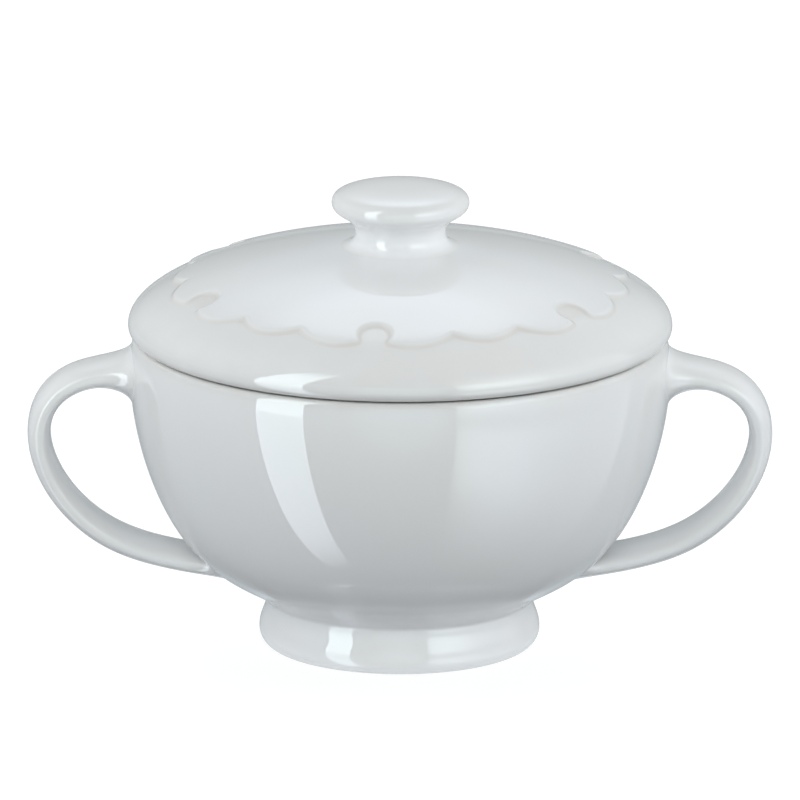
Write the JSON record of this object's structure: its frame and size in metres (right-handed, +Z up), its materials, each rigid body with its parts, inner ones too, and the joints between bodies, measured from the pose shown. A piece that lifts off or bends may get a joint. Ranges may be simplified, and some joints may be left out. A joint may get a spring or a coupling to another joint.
{
  "type": "lidded soup bowl",
  "caption": "Round lidded soup bowl with swept strap handles, a turned foot ring, and a domed lift-off lid that carries a raised lace layer and a knob.",
  "frame": {"origin": "middle of the flat that the foot ring stands on", "axes": "+Z up, +X through the right handle, the front faces -Y"},
  "size_m": [0.1396, 0.102, 0.0878],
  "materials": {
    "pearl_glaze": "glossy pearl-white glaze with fine speckle",
    "foot_glaze": "glossy pearl-white glaze, wiped off the standing flat",
    "lid_glaze": "glossy pearl-white glaze with fine speckle, thinner and warmer on the edges of the lace"
  },
  "bodies": {
    "crock": {"bowl": "pearl_glaze", "foot_ring": "foot_glaze", "left_handle": "pearl_glaze", "right_handle": "pearl_glaze"},
    "lid": {"lid": "lid_glaze", "lace_layer": "lid_glaze", "lid_knob": "lid_glaze"}
  },
  "joints": [
    {"name": "lid_lift", "type": "slide", "parent": "crock", "child": "lid", "axis": [0, 0, 1], "range_m": [0, 0.06]}
  ]
}
